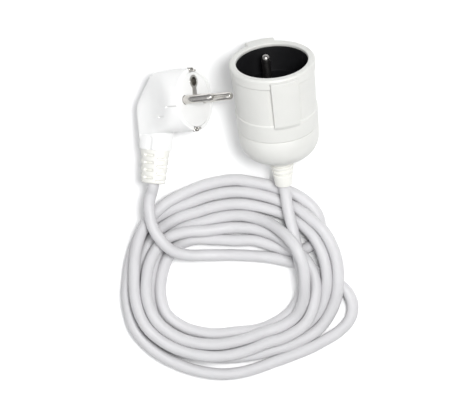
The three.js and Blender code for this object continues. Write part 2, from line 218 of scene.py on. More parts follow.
def flex_sheath(name, color):
    """Extruded PVC sheath: drawn lines along the cord, a soft sheen and slight handling marks."""
    paint = Paint(name, 0.46, specular=0.42)
    along = paint.coordinates("UV")
    drawn = paint.noise(paint.coordinates("UV", scale=(60, 1.2, 1)), 1.0, detail=4)
    cloud = paint.noise(along, 22, detail=3)
    fine = paint.noise(paint.coordinates(), 1500, detail=3)
    scuff = paint.noise(paint.coordinates(), 160, detail=6, roughness=0.7)
    paint.colours(cloud, darker(color, 0.965), color)
    paint.rough(paint.ramp(scuff, 0.4, 0.56))
    paint.bump([(drawn, 0.00002), (fine, 0.00001)])
    return paint.material


def metal(name, color, roughness):
    """Plated or bare metal with fine polishing marks and thin tarnish."""
    paint = Paint(name, roughness, metallic=1.0)
    marks = paint.noise(paint.coordinates(), 1900, detail=3)
    cloud = paint.noise(paint.coordinates(), 140, detail=4)
    paint.colours(cloud, darker(color, 0.86), color, 0.3, 0.6)
    paint.rough(paint.ramp(marks, roughness - 0.05, roughness + 0.07))
    paint.bump([(marks, 0.0000015)])
    return paint.material


WHITE_SHELL = moulded("white_shell", (0.70, 0.70, 0.672), 0.40)
WHITE_PLUG = moulded("white_plug", (0.94, 0.94, 0.93), 0.40)
CREAM_FLEX = moulded("cream_flex", (0.83, 0.825, 0.78), 0.5, grain=1.6)
GREY_FLEX = flex_sheath("grey_flex", (0.62, 0.615, 0.625))
BLACK_INSERT = moulded("black_insert", (0.008, 0.008, 0.009), 0.55, mottle=0.7, specular=0.2)
WHITE_INSERT = moulded("white_insert", (0.91, 0.91, 0.90), 0.46)
NICKEL = metal("nickel", (0.68, 0.66, 0.63), 0.2)
# nickel darkened with painted shade, for the earth pin that stands deep in the socket's dark recess
NICKEL_PAINTED_SHADE = metal("nickel_painted_shade", (0.34, 0.33, 0.32), 0.3)
BRASS = metal("brass", (0.72, 0.52, 0.25), 0.32)
STEEL = metal("steel", (0.55, 0.56, 0.57), 0.34)
CORE_BROWN = moulded("core_brown", (0.19, 0.075, 0.03), 0.45)
CORE_BLUE = moulded("core_blue", (0.03, 0.13, 0.46), 0.45)


def earth_core():
    """Green insulation with two yellow stripes wound along it."""
    paint = Paint("core_earth", 0.45)
    bands = paint.noise(paint.coordinates(scale=(420, 420, 140)), 1.0, detail=1)
    fine = paint.noise(paint.coordinates(), 2400, detail=2)
    paint.colours(bands, (0.05, 0.27, 0.05), (0.75, 0.62, 0.04), 0.49, 0.51)
    paint.rough(paint.ramp(fine, 0.4, 0.55))
    paint.bump([(fine, 0.00001)])
    return paint.material


CORE_EARTH = earth_core()

# ---------------------------------------------------------------- mesh helpers


SHARP_EDGE = 38         # degrees between two faces, from which their edge isn't shaded smooth
WELD = 1e-4             # mm, under which two points are one


def coat_with(mesh, material):
    mesh.materials.clear()
    mesh.materials.append(material)


def new_piece(name, mesh, material, replaces):
    piece = add_object(name, mesh)
    coat_with(mesh, material)
    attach(piece, BODY)
    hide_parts(*replaces)
    return piece


def shade(bm, sharp):
    for face in bm.faces:
        face.smooth = True
    for edge in bm.edges:
        edge.smooth = not (len(edge.link_faces) == 2
                           and edge.calc_face_angle(0) > math.radians(sharp))


def smooth_mesh(bm, name, place, sharp=SHARP_EDGE):
    """Closes up the mesh, puts it in its place in metres and marks its sharp edges."""
    bmesh.ops.remove_doubles(bm, verts=bm.verts, dist=WELD)
    bmesh.ops.transform(bm, matrix=place, verts=bm.verts)
    bmesh.ops.recalc_face_normals(bm, faces=bm.faces)
    shade(bm, sharp)
    mesh = bpy.data.meshes.new(name)
    bm.to_mesh(mesh)
    bm.free()
    return mesh


def grid_bmesh(rings, closed_rings=False):
    """Skin over rings of equally many points. closed_rings joins the last ring to the first."""
    bm = bmesh.new()
    rows = [[bm.verts.new(point) for point in ring] for ring in rings]
    count = len(rows[0])
    last = len(rows) if closed_rings else len(rows) - 1
    for row in range(last):
        near, far = rows[row], rows[(row + 1) % len(rows)]
        for k in range(count):
            after = (k + 1) % count
            bm.faces.new((near[k], near[after], far[after], far[k]))
    if not closed_rings:
        bm.faces.new(rows[0][::-1])
        bm.faces.new(rows[-1])
    return bm


def rounded(profile, radius):
    """The closed outline with each corner off the axis turned into an arc."""
    steps = 4
    straight = math.radians(172)
    out = []
    count = len(profile)
    for k in range(count):
        corner = np.array(profile[k], float)
        before = np.array(profile[k - 1], float) - corner
        after = np.array(profile[(k + 1) % count], float) - corner
        reach = [np.linalg.norm(before), np.linalg.norm(after)]
        if corner[0] < 1e-6 or min(reach) < 1e-6:
            out.append(tuple(corner))
            continue
        before, after = before / reach[0], after / reach[1]
        angle = math.acos(max(-1, min(1, float(before @ after))))
        if angle > straight:
            out.append(tuple(corner))
            continue
        cut = min(radius / math.tan(angle / 2), 0.45 * min(reach))
        first, last = corner + before * cut, corner + after * cut
        for step in range(steps + 1):
            t = step / steps
            out.append(tuple((1 - t) ** 2 * first + 2 * t * (1 - t) * corner + t * t * last))
    return out


def turned_bmesh(profile, segments):
    """Solid of revolution about Z from a closed outline of (radius, z)."""
    rings = []
    for radius, z in profile:
        angles = [2 * math.pi * k / segments for k in range(segments)]
        rings.append([(radius * math.cos(a), radius * math.sin(a), z) for a in angles])
    bm = grid_bmesh(rings, closed_rings=True)
    bmesh.ops.remove_doubles(bm, verts=bm.verts, dist=WELD)
    bmesh.ops.dissolve_degenerate(bm, edges=bm.edges, dist=WELD)
    return bm


def turned(name, profile, place, radius, segments):
    return smooth_mesh(turned_bmesh(rounded(profile, radius), segments), name, place)


def tool_mesh(bm, place):
    bmesh.ops.transform(bm, matrix=place, verts=bm.verts)
    bmesh.ops.recalc_face_normals(bm, faces=bm.faces)
    mesh = bpy.data.meshes.new("tool")
    bm.to_mesh(mesh)
    bm.free()
    return mesh


def rod_tool(radius, low, high, place, shift=(0, 0, 0), segments=48):
    bm = turned_bmesh([(0, low), (radius, low), (radius, high), (0, high)], segments)
    return tool_mesh(bm, place @ Matrix.Translation(shift))


def box_tool(low, high, place):
    bm = bmesh.new()
    bmesh.ops.create_cube(bm, size=1)
    for vert in bm.verts:
        vert.co = Vector([low[a] if vert.co[a] < 0 else high[a] for a in range(3)])
    return tool_mesh(bm, place)


def evaluated(obj):
    """The object's mesh with its modifiers applied."""
    bpy.context.view_layer.update()
    graph = bpy.context.evaluated_depsgraph_get()
    return bpy.data.meshes.new_from_object(obj.evaluated_get(graph))


def carve(mesh, tools, operation="DIFFERENCE"):
    """The mesh with the tools cut out of it, or joined to it."""
    scratch = add_object("scratch", mesh)
    helpers = []
    for tool in tools:
        helper = add_object("tool", tool)
        helpers.append(helper)
        modifier = scratch.modifiers.new("carve", "BOOLEAN")
        modifier.operation = operation
        modifier.solver = "EXACT"
        modifier.object = helper
    result = evaluated(scratch)
    for helper in helpers + [scratch]:
        bpy.data.objects.remove(helper)
    bm = bmesh.new()
    bm.from_mesh(result)
    shade(bm, SHARP_EDGE)
    bm.to_mesh(result)
    bm.free()
    return result


def edge_rounding(piece, width):
    bevel = piece.modifiers.new("edges", "BEVEL")
    bevel.width = width * MM
    bevel.segments = 2
    bevel.limit_method = "ANGLE"
    bevel.angle_limit = math.radians(35)
    bevel.harden_normals = True
    return piece


def smoothstep(value, start, end):
    t = np.clip((value - start) / (end - start), 0, 1)
    return t * t * (3 - 2 * t)


def smooth_line(values, t, wrap=False):
    """Catmull-Rom value at t along a list of numbers or points."""
    count = len(values)
    base = int(math.floor(t))
    f = t - base

    def at(k):
        k = k % count if wrap else min(max(k, 0), count - 1)
        return np.array(values[k], float)

    a, b, c, d = at(base - 1), at(base), at(base + 1), at(base + 2)
    return 0.5 * (2 * b + (c - a) * f + (2 * a - 5 * b + 4 * c - d) * f * f
                  + (3 * b - a - 3 * c + d) * f ** 3)


def even_route(points, step):
    """The smooth curve through the points, as points at equal steps."""
    points = np.array(points, float)
    ends = np.vstack([2 * points[0] - points[1], points, 2 * points[-1] - points[-2]])
    fine = 12
    dense = [smooth_line(ends, 1 + k / fine) for k in range(fine * (len(points) - 1) + 1)]
    dense = np.array(dense)
    travelled = np.r_[0, np.cumsum(np.linalg.norm(np.diff(dense, axis=0), axis=1))]
    count = int(round(travelled[-1] / step))
    stations = np.linspace(0, travelled[-1], count + 1)
    return np.stack([np.interp(stations, travelled, dense[:, c]) for c in range(3)], 1)


# ---------------------------------------------------------------- the cord's route, mm

COIL_MIDDLE = (-27.4, -95.6)
STATION = 30            # degrees between the places where the coil's shape is set
FIRST_STATION = -30     # degrees, and the turns run clockwise from there

# radius of the outermost strand at each station, clockwise
OUTLINE = [56.3, 53.0, 55.1, 59.8, 65.3, 60.6, 60.1, 55.2, 55.6, 57.8, 61.6, 60.1]

# how far inside the outline each turn lies, in cord widths, and how high, in cord diameters
OUTER_TURNS = [
    ([-0.9, 0.1, 0.0, 0.0, 0.0, 0.0, 0.4, 0.9, 1.0, 0.9, 0.3, 0.0],
     [0, 0, 0, 0, 0, 0, 0, 0, 0, 0.1, 1, 0.9]),
    ([0.1, 1.0, 1.45, 1.45, 1.2, 1.05, 1.5, 2.0, 2.1, 2.0, 1.4, 1.0],
     [0, 0, 0, 0, 0, 0, 0, 0, 0, 0.1, 1, 0.9]),
    ([1.1, 1.9, 2.45, 2.45, 2.2, 2.1, 2.6, 3.0, 3.1, 3.0, 2.8, 2.7],
     [0, 0, 0, 0, 0, 0, 0, 0, 0, 0.3, 1.5, 1.9]),
    ([2.3, 2.8, 2.9, 2.6, 2.3, 1.8, 2.5, 3.6, 4.1, 4.0, 3.5, 1.9],
     [1, 1, 1, 1, 1, 1, 1, 0.4, 0, 0.3, 1, 1]),
    ([1.3, 2.0, 1.85, 1.55, 1.25, 0.7, 0.4, 0.1, 0.0],
     [1, 1, 1, 1, 1, 1, 1, 0.5, 0]),
]
# the innermost turn runs the other way, from the far side round to the socket's lead
INNER_TURN = ([5.3, 4.7, 3.7, 2.7, 3.0, 3.4, 3.6, 3.0, 2.9, 2.9],
              [0, 0.3, 0.8, 1, 1, 0.5, 0, 0, 0, 0.8])

# from the plug over the far strands, along the opening, under the right side and round a loose loop
PLUG_LEAD = [
    (-71.4, -39.2, 14.7), (-71.5, -41.9, 14.9), (-71.8, -44.4, 14.4), (-73.2, -48.2, 12.7),
    (-74.1, -52.2, 11.4), (-74, -56.5, 10.7), (-71.9, -65.8, 10.2), (-67.3, -73.1, 10),
    (-61.2, -79.3, 9.2), (-52.6, -82.5, 7.4), (-41.7, -82.9, 5), (-30.5, -82.8, 3.5),
    (-16.3, -82.7, 3.3), (-4.9, -83.2, 3.3), (3.6, -84.6, 3.3), (11, -86.7, 3.3),
    (21, -91, 3.3), (29.5, -96, 3.3), (36.8, -102, 3.3), (40, -109.8, 3.3), (38, -118, 3.3),
    (31, -125, 3.3), (21.8, -130.3, 3.3), (11, -135.2, 3.3),
]
# the fold in the middle of the cord, under the strands at the upper right
FOLD = [
    (-15.5, -41.2, 3.3), (-4, -43.6, 3.3), (8, -48, 3.3), (16.5, -54.5, 3.3), (20.8, -62.5, 3.3),
    (20.3, -71.2, 3.3), (14, -77.6, 3.3), (5, -79.6, 3.3), (-5, -77, 3.3), (-16, -74.2, 3.3),
]
# over the far strands and up to the socket
SOCKET_LEAD = [
    (12.8, -85.3, 11), (11.1, -80.2, 11), (9.1, -73.4, 10.8), (7, -66.2, 10.4), (5.3, -58.8, 10.2),
    (4.2, -53.2, 10), (3.4, -48.6, 9.9), (2.8, -45.2, 9.9), (2.2, -42.1, 10.2), (2.1, -40.3, 10.7),
    (2.0, -38.2, 11.4),
]


def outline_at(degrees):
    station = ((FIRST_STATION - degrees) / STATION) % len(OUTLINE)
    return float(smooth_line(OUTLINE, station, wrap=True))


def turn_points(lanes, levels, first, step, start):
    """Two points per station along a run of turns, from station start to its last one."""
    points = []
    for k in range(2 * (len(lanes) - 1 - start) + 1):
        t = start + k / 2
        degrees = first + step * t
        radius = outline_at(degrees) - float(smooth_line(lanes, t)) * CORD_DIAMETER
        height = CORD_RADIUS + max(0, float(smooth_line(levels, t))) * CORD_DIAMETER
        angle = math.radians(degrees)
        points.append((COIL_MIDDLE[0] + radius * math.cos(angle),
                       COIL_MIDDLE[1] + radius * math.sin(angle), height))
    return points


def laid_route():
    lanes = [lane for turn_lanes, _ in OUTER_TURNS for lane in turn_lanes]
    levels = [level for _, turn_levels in OUTER_TURNS for level in turn_levels]
    outer = turn_points(lanes, levels, FIRST_STATION, -STATION, 1)
    inner = turn_points(*INNER_TURN, 90, STATION, 0)
    return PLUG_LEAD + outer + FOLD + inner + SOCKET_LEAD


SHEATH_SIDES = 20
SHEATH_UV = 10          # of the sheath's grain per metre of cord
LAY_PITCH = 55          # the three cores under the sheath twist once in this length
LAY_RELIEF = 0.05       # and show through it by this much
FLOOR_CLEAR = CORD_RADIUS + LAY_RELIEF + 0.02


def neighbour_mean(points):
    pull = np.zeros_like(points)
    pull[1:-1] = (points[:-2] + points[2:]) / 2 - points[1:-1]
    return pull


SETTLE_ROUNDS = 300
HELD = 3                # points at each end that stay as they are
SINK = 0.1              # mm that the cord falls in the first round
SINK_LOSS = 0.7         # share of it that is gone by the last round
PUSH_PASSES = 3         # in each round, of pushing touching strands apart
PUSH_SHARE = 0.9
PUSH_WAY = np.array([1, 1, 1.6])    # strands part upwards more readily than sideways
STIFFNESS = 0.4         # how far each round goes back to the designed bends
PLACE_PULL = 0.03       # and to the designed places, seen from above
EASE_EVERY = 5          # rounds between those that ease out kinks
EASE_PASSES = 2
STRETCH_PASSES = 2
STRETCH_SHARE = 0.25


def pushed_apart(points, first, second):
    """Moves the pairs of points that lie within one cord's thickness away from each other."""
    apart = points[second] - points[first]
    distance = np.linalg.norm(apart, axis=1)
    touching = distance < CORD_DIAMETER
    a, b = first[touching], second[touching]
    way = apart[touching] * PUSH_WAY
    way /= np.linalg.norm(way, axis=1)[:, None]
    push = way * ((CORD_DIAMETER - distance[touching]) * 0.5)[:, None]
    total = np.zeros_like(points)
    hits = np.zeros(len(points))
    np.add.at(total, a, -push)
    np.add.at(total, b, push)
    np.add.at(hits, a, 1)
    np.add.at(hits, b, 1)
    return points + total / np.maximum(hits, 1)[:, None] * PUSH_SHARE


def settle(route):
    """Lets the cord sink under its weight until its strands lie on the floor and on each other.
    It keeps its length and its curves, and the points held at both ends stay."""
    designed = route.copy()
    points = route.copy()
    segment = np.linalg.norm(np.diff(points, axis=0), axis=1)
    first, second = np.triu_indices(len(points), k=int(2.2 * CORD_DIAMETER / segment.mean()))
    close = np.linalg.norm(designed[second] - designed[first], axis=1) < 3 * CORD_DIAMETER
    first, second = first[close], second[close]
    designed_bend = neighbour_mean(designed)
    for step in range(SETTLE_ROUNDS):
        points[HELD:-HELD, 2] -= SINK * (1 - SINK_LOSS * step / SETTLE_ROUNDS)
        for _ in range(PUSH_PASSES):
            points = pushed_apart(points, first, second)
            points[:, 2] = np.maximum(points[:, 2], FLOOR_CLEAR)
        points += (neighbour_mean(points) - designed_bend) * STIFFNESS
        if step % EASE_EVERY == EASE_EVERY - 1:
            moved = points - designed
            for _ in range(EASE_PASSES):
                moved += neighbour_mean(moved) * 0.5
            points = designed + moved
        points[:, :2] += (designed[:, :2] - points[:, :2]) * PLACE_PULL
        for _ in range(STRETCH_PASSES):
            span = points[1:] - points[:-1]
            reach = np.linalg.norm(span, axis=1)
            share = span * ((reach - segment) / reach * STRETCH_SHARE)[:, None]
            points[:-1] += share
            points[1:] -= share
        points[:, 2] = np.maximum(points[:, 2], FLOOR_CLEAR)
        points[:HELD] = designed[:HELD]
        points[-HELD:] = designed[-HELD:]
    return points


def transported_frames(route):
    """A side direction at each point of the route that doesn't twist along it."""
    tangents = np.gradient(route, axis=0)
    tangents /= np.linalg.norm(tangents, axis=1)[:, None]
    side = np.cross(tangents[0], (0.0, 0.0, 1.0))
    side /= np.linalg.norm(side)
    sides = []
    for tangent in tangents:
        side = side - tangent * (side @ tangent)
        side /= np.linalg.norm(side)
        sides.append(side.copy())
    return tangents, np.array(sides)


def sheath_mesh(route):
    tangents, sides = transported_frames(route)
    step = np.linalg.norm(route[1] - route[0])
    angles = np.arange(SHEATH_SIDES) * 2 * math.pi / SHEATH_SIDES
    rings = []
    for k, point in enumerate(route):
        up = np.cross(tangents[k], sides[k])
        lay = np.cos(3 * (angles - 2 * math.pi * k * step / LAY_PITCH))
        radius = CORD_RADIUS + LAY_RELIEF * lay
        across = (radius * np.cos(angles))[:, None] * sides[k]
        ring = point + across + (radius * np.sin(angles))[:, None] * up
        rings.append([Vector(p) for p in ring])
    bm = grid_bmesh(rings)
    bm.verts.index_update()
    layer = bm.loops.layers.uv.new("UVMap")
    for face in bm.faces:
        for loop in face.loops:
            ring, side = divmod(loop.vert.index, SHEATH_SIDES)
            seam = SHEATH_SIDES if side == 0 and any(
                other.vert.index % SHEATH_SIDES == SHEATH_SIDES - 1 for other in face.loops) else side
            loop[layer].uv = (seam / SHEATH_SIDES, ring * step * MM * SHEATH_UV)
    return smooth_mesh(bm, "flex", METRES)


ROUTE_STEP = 4          # mm, while the cord settles
SHEATH_STEP = 1.6       # mm, between the rings of the sheath


def add_cord():
    settled = settle(even_route(laid_route(), ROUTE_STEP))
    route = even_route(settled[::-1], SHEATH_STEP)
    cord = new_piece("flex", sheath_mesh(route), GREY_FLEX,
                     replaces=("cord_coil", "cord_socket_lead", "cord_plug_lead"))


# ---------------------------------------------------------------- trailing socket

RIM_RADIUS = 23.9
WAIST_RADIUS = 22.6     # outside of the barrel where the rear cover meets it
RIB_FOOT_RADIUS = 24.2
RIB_HALF_ANGLE = 18
# the two proud ribs: middle in degrees, radius at the rim, depth at which the rib begins
RIBS = [(84.5, 27.8, 0.1), (264.5, 26.0, 1.3)]
GUTTER_DEPTH = 0.7      # of the shallow channel beside each rib
RIB_END = 29.5          # depth at which the ribs and the grip panels end
PANEL_DEPTH = 0.6       # of the grip panels between the two ribs
BARREL_BORE = 20.8
LIP_RADIUS = 20.1       # the shell comes in over the front of the insert
LIP_DEPTH = 2.0
BARREL_LENGTH = 40
SOCKET_LENGTH = 59.5
REAR_FILLET = 12.5
RECESS_RADIUS = 19.8
RECESS_DEPTH = 17
SEAM = 0.15
RIM_ROUND = 1.2         # radius of the rim's outer edge
BORE_ROUND = 0.6        # radius of its inner edge
SMALL_ROUND = 0.25      # of the edges beside the seam
QUARTER_STEPS = 5       # in each quarter turn of the rim
REAR_STEPS = 14
RELIEF_SEAT = 7.9       # radius of the place in the rear cover where the strain relief sits
CORD_HOLE = 4.6         # radius of the hole behind it
COVER_WALL = 2.4
PIVOT_HOLE = 1.8        # radius of the blind hole under the recess floor
SIDE_SLOT_OFFSET = 19.7
SOCKET_RELIEF_LENGTH = 19.0


def barrel_radius(degrees, z):
    """Outside of the barrel: a smooth rim band, two proud ribs, and a sunk grip panel on each side."""
    depth = -z
    middle, rib_radius, rib_start = min(RIBS, key=lambda rib: abs(degrees - rib[0]))
    from_rib = abs(degrees - middle)
    body = RIM_RADIUS + (WAIST_RADIUS - RIM_RADIUS) * np.clip(depth / BARREL_LENGTH, 0, 1)
    beside = smoothstep(from_rib, RIB_HALF_ANGLE, RIB_HALF_ANGLE + 1.0)
    gutter = beside * (1 - smoothstep(from_rib, RIB_HALF_ANGLE + 2.2, RIB_HALF_ANGLE + 6))
    sunk = smoothstep(depth, 5.6, 6.6) * (1 - smoothstep(depth, RIB_END - 0.3, RIB_END + 0.4))
    rib_top = rib_radius + (RIB_FOOT_RADIUS - rib_radius) * np.clip(depth / RIB_END, 0, 1)
    rise = (smoothstep(depth, rib_start, rib_start + 0.7)
            * (1 - smoothstep(depth, RIB_END - 0.5, RIB_END + 2.5)))
    return (body - (PANEL_DEPTH * beside + GUTTER_DEPTH * gutter) * sunk
            + (rib_top - body) * rise * (1 - beside))


def socket_barrel():
    columns = 360
    depths = np.r_[np.arange(RIM_ROUND, 2.3, 0.14)[1:], np.arange(2.6, 5.4, 0.7),
                   np.arange(5.4, 6.8, 0.2), np.arange(7, 28.6, 1.8), np.arange(28.8, 32.4, 0.2),
                   np.arange(33, 39.7, 0.9)]
    angles = [360 * k / columns for k in range(columns)]

    def ring(radii, z):
        return [(radius * math.cos(math.radians(a)), radius * math.sin(math.radians(a)), z)
                for a, radius in zip(angles, radii)]

    def plain(radius, z):
        return ring([radius] * columns, z)

    def outside(depth, z, inset=0.0):
        return ring([float(barrel_radius(a, -depth)) - inset for a in angles], z)

    rings = [plain(BARREL_BORE, -LIP_DEPTH), plain(LIP_RADIUS + 0.2, -LIP_DEPTH),
             plain(LIP_RADIUS, -LIP_DEPTH + 0.2)]
    for step in range(QUARTER_STEPS + 1):
        angle = math.radians(90 * step / QUARTER_STEPS)
        rings.append(plain(LIP_RADIUS + BORE_ROUND * (1 - math.cos(angle)),
                           -BORE_ROUND * (1 - math.sin(angle))))
    for step in range(QUARTER_STEPS + 1):
        angle = math.radians(90 * step / QUARTER_STEPS)
        rings.append(outside(RIM_ROUND, -RIM_ROUND * (1 - math.cos(angle)),
                             RIM_ROUND * (1 - math.sin(angle))))
    for depth in depths:
        rings.append(outside(depth, -depth))
    rings.append(outside(BARREL_LENGTH, -BARREL_LENGTH + SMALL_ROUND))
    rings.append(outside(BARREL_LENGTH, -BARREL_LENGTH, SMALL_ROUND))
    rings.append(plain(BARREL_BORE, -BARREL_LENGTH))
    bm = grid_bmesh(rings, closed_rings=True)
    return new_piece("barrel", smooth_mesh(bm, "barrel", SOCKET, 50), WHITE_SHELL,
                     replaces=("socket_barrel",))


def rear_profile(inset=0.0):
    """Outside of the rear cover, from its open end to the cord's hole."""
    front = -BARREL_LENGTH - SEAM
    points = [(WAIST_RADIUS - inset - SMALL_ROUND, front), (WAIST_RADIUS - inset, front - SMALL_ROUND)]
    draft = 0.35
    centre = (WAIST_RADIUS - draft - REAR_FILLET, -SOCKET_LENGTH + REAR_FILLET)
    for step in range(REAR_STEPS + 1):
        angle = math.radians(-90 * step / REAR_STEPS)
        radius = REAR_FILLET - inset
        points.append((centre[0] + radius * math.cos(angle), centre[1] + radius * math.sin(angle)))
    return points


def socket_rear():
    edge = 0.5
    outside = rear_profile()
    outside += [(RELIEF_SEAT + edge, -SOCKET_LENGTH), (RELIEF_SEAT, -SOCKET_LENGTH + edge)]
    inside = [(CORD_HOLE, -SOCKET_LENGTH + edge), (CORD_HOLE, -SOCKET_LENGTH + COVER_WALL)]
    inside += rear_profile(COVER_WALL)[:1:-1]
    inside += [(WAIST_RADIUS - COVER_WALL, -BARREL_LENGTH - SEAM)]
    bm = turned_bmesh(outside + inside, 144)
    return new_piece("rear_cover", smooth_mesh(bm, "rear_cover", SOCKET, 50), WHITE_SHELL,
                     replaces=("socket_rear_cover",))


def recess_insert():
    """The black cup, cut for the contacts, the earth pin, the shutter's pivot and two side slots.
    Known fault: the cut at the contact on the side of minus X leaves a stray face across the hole."""
    floor = -RECESS_DEPTH
    under = floor - 2.5
    outer = BARREL_BORE - SEAM
    top = -LIP_DEPTH - 0.2
    cup = turned("insert", [
        (0, under), (outer, under), (outer, top), (RECESS_RADIUS + 0.1, top),
        (RECESS_RADIUS - 0.15, floor), (0, floor),
    ], SOCKET, radius=0.45, segments=128)
    tools = []
    for side in (-1, 1):
        shift = (side * PIN_SPACING, 0, 0)
        tools.append(rod_tool(PIN_RADIUS + 0.4, under - 1, 1 + floor, SOCKET, shift))
        cone = turned_bmesh([(0, floor - 0.9), (PIN_RADIUS + 0.3, floor - 0.9),
                             (PIN_RADIUS + 1.5, floor + 0.3), (0, floor + 0.3)], 48)
        tools.append(tool_mesh(cone, SOCKET @ Matrix.Translation(shift)))
    tools.append(rod_tool(PIN_RADIUS + SEAM, under - 1, 1 + floor, SOCKET, (0, EARTH_OFFSET, 0)))
    tools.append(rod_tool(PIVOT_HOLE, under - 1, under + 1.2, SOCKET))
    for side in (-1, 1):
        middle = side * SIDE_SLOT_OFFSET
        tools.append(box_tool((middle - 0.6, -2.6, floor + 0.2), (middle + 0.6, 2.6, -1.6), SOCKET))
    return new_piece("recess_insert", carve(cup, tools), BLACK_INSERT,
                     replaces=("contact_carrier",))


def round_ended_pin(name, low, high, radius, place):
    """A plain pin with a rounded end, a blunt quarter oval in section."""
    tip = 3.1
    steps = 8
    profile = [(0, low), (radius, low)]
    for step in range(steps + 1):
        angle = math.radians(90 * step / steps)
        profile.append((max(radius * math.cos(angle) ** 0.8, 0.0), high - tip + tip * math.sin(angle)))
    profile[-1] = (0, high)
    return smooth_mesh(turned_bmesh(profile, 48), name, place)


def earth_pin():
    mesh = round_ended_pin("earth_pin", -36, -1.3, PIN_RADIUS,
                           SOCKET @ Matrix.Translation((0, EARTH_OFFSET, 0)))
    # the pin's nickel is darkened with painted shade
    return new_piece("earth_contact_pin", mesh, NICKEL_PAINTED_SHADE, replaces=("earth_pin",))


def socket_relief():
    """Four soft rings between grooves, then a plain collar that closes on the cord."""
    start = -SOCKET_LENGTH + 0.2
    end = -SOCKET_LENGTH - SOCKET_RELIEF_LENGTH
    profile = [(CORD_RADIUS + 0.15, start), (7.6, start)]
    for groove in range(4):
        top = start - 1.7 - groove * 3.0
        radius = 7.5 - groove * 0.55
        profile += [(radius, top), (radius - 1.5, top - 0.3), (radius - 1.5, top - 1.1),
                    (radius - 0.3, top - 1.4)]
    profile += [(5.3, end + 4.2), (4.95, end + 0.4), (4.6, end), (CORD_RADIUS + 0.2, end)]
    return new_piece("socket_relief", turned("socket_relief", profile, SOCKET, 0.35, 72), CREAM_FLEX,
                     replaces=("socket_strain_relief",))


# ---------------------------------------------------------------- right-angle plug

NECK_AXIS = 27.6
NECK_LEAN = 11.5
NECK_END = 25.5
INSERT_RADIUS = 15.2
INSERT_DEPTH = 6
NECK_TOP = 14           # how far below the pins' axis the neck leaves the hull
NECK_HALF_ALONG, NECK_HALF_ACROSS, NECK_FLARE = 8.8, 7.0, 0.2
PLUG_RELIEF_LENGTH = 19
RELIEF_HALF_ALONG, RELIEF_HALF_ACROSS = 8.7, 6.7    # of the strain relief where it leaves the neck
RELIEF_TAPER = 0.15     # share of those that is lost by its end
RELIEF_ROWS, RELIEF_COLUMNS = 4, 6
RELIEF_FIRST_SLOT, RELIEF_ROW_STEP, RELIEF_STAGGER = 3.0, 4.2, 1.9
RELIEF_OVERLAP = 0.2    # of the strain relief and the neck
STRAP_WIDTH = 6
STRAP_SLOT_OFFSET, STRAP_SLOT_HALF_HEIGHT = 16.6, 1.6
EARTH_BORE = 2.45
EARTH_TUBE = 2.95
EARTH_LIP = 0.75        # of the tube's turned-out lip past the tube

# the hull from its face to its back: x, top, bottom, half thickness, squareness of the section
HULL_SECTIONS = [
    (0.0, 17.7, -17.7, 17.7, 2.0), (-2.5, 17.7, -17.7, 17.7, 2.0), (-6, 17.7, -17.6, 17.2, 2.2),
    (-10, 17.6, -17.3, 15.6, 2.8), (-14, 17.5, -17.0, 13.4, 3.8), (-18, 17.3, -16.8, 11.4, 5.0),
    (-22, 17.1, -17.0, 9.6, 6.0), (-24, 15.6, -18.0, 8.8, 6.0), (-27, 12.4, -20.0, 7.9, 6.0),
    (-30, 8.9, -20.8, 7.2, 6.0), (-33, 5.2, -21.0, 6.7, 6.0), (-35.3, 1.9, -21.0, 6.4, 6.0),
    (-36.0, -0.8, -20.8, 6.2, 6.0),
]


def superellipse(count, half_height, half_width, middle, power):
    points = []
    for k in range(count):
        angle = 2 * math.pi * k / count
        c, s = math.cos(angle), math.sin(angle)
        y = math.copysign(abs(c) ** (2 / power), c) * half_height + middle
        z = math.copysign(abs(s) ** (2 / power), s) * half_width
        points.append((y, z))
    return points


def hull_mesh():
    around = 96
    steps = 4
    rings = []
    for k in range(steps * (len(HULL_SECTIONS) - 1) + 1):
        x, top, bottom, half, power = smooth_line(HULL_SECTIONS, k / steps)
        ring = superellipse(around, (top - bottom) / 2, half, (top + bottom) / 2, power)
        rings.append([(x, y, z) for y, z in ring])
    return tool_mesh(grid_bmesh(rings), Matrix.Identity(4))


def neck_point(down):
    return (-NECK_AXIS - (down - NECK_TOP) * math.tan(math.radians(NECK_LEAN)), -down)


def neck_mesh():
    """The flattened neck under the hull, square to its own leaning axis."""
    around = 64
    lean = math.radians(NECK_LEAN)
    rings = []
    for down in np.linspace(2, NECK_END, 12):
        x, y = neck_point(down)
        half_along = NECK_HALF_ALONG + NECK_FLARE * (1 - smoothstep(down, 16, 24))
        section = superellipse(around, half_along, NECK_HALF_ACROSS, 0, 3.0)
        rings.append([(x + u * math.cos(lean), y - u * math.sin(lean), v) for u, v in section])
    return tool_mesh(grid_bmesh(rings), Matrix.Identity(4))


# shallow lines moulded into both flanks: (x, y) from and to, half width, depth
FLANK_LINES = [((-34.5, -16.6), (-23, -16.8), 0.35, 0.4), ((-28.0, -19.4), (-29.6, -25.2), 1.0, 0.6)]
# narrow slots in both flanks: where each starts, its length, and its slope towards the back
FLANK_SLOTS = [((-0.5, -3.0, 16.3), 8.8, 10.6), ((-12.2, -8.0, 13.0), 6.4, 24.6)]
SLOT_WIDTH = 0.7
FLANK_START = 4         # distance from the hull's middle plane at which its flanks begin


def slot_tools():
    reach = 6
    tools = []
    for (x, y, z), length, slope in FLANK_SLOTS:
        for side in (-1, 1):
            place = PLUG @ Matrix.Translation((x, y, side * z)) @ turn("Y", -side * slope)
            low, high = sorted((0, side * reach))
            tools.append(box_tool((-length, -SLOT_WIDTH / 2, low), (0, SLOT_WIDTH / 2, high), place))
    return tools


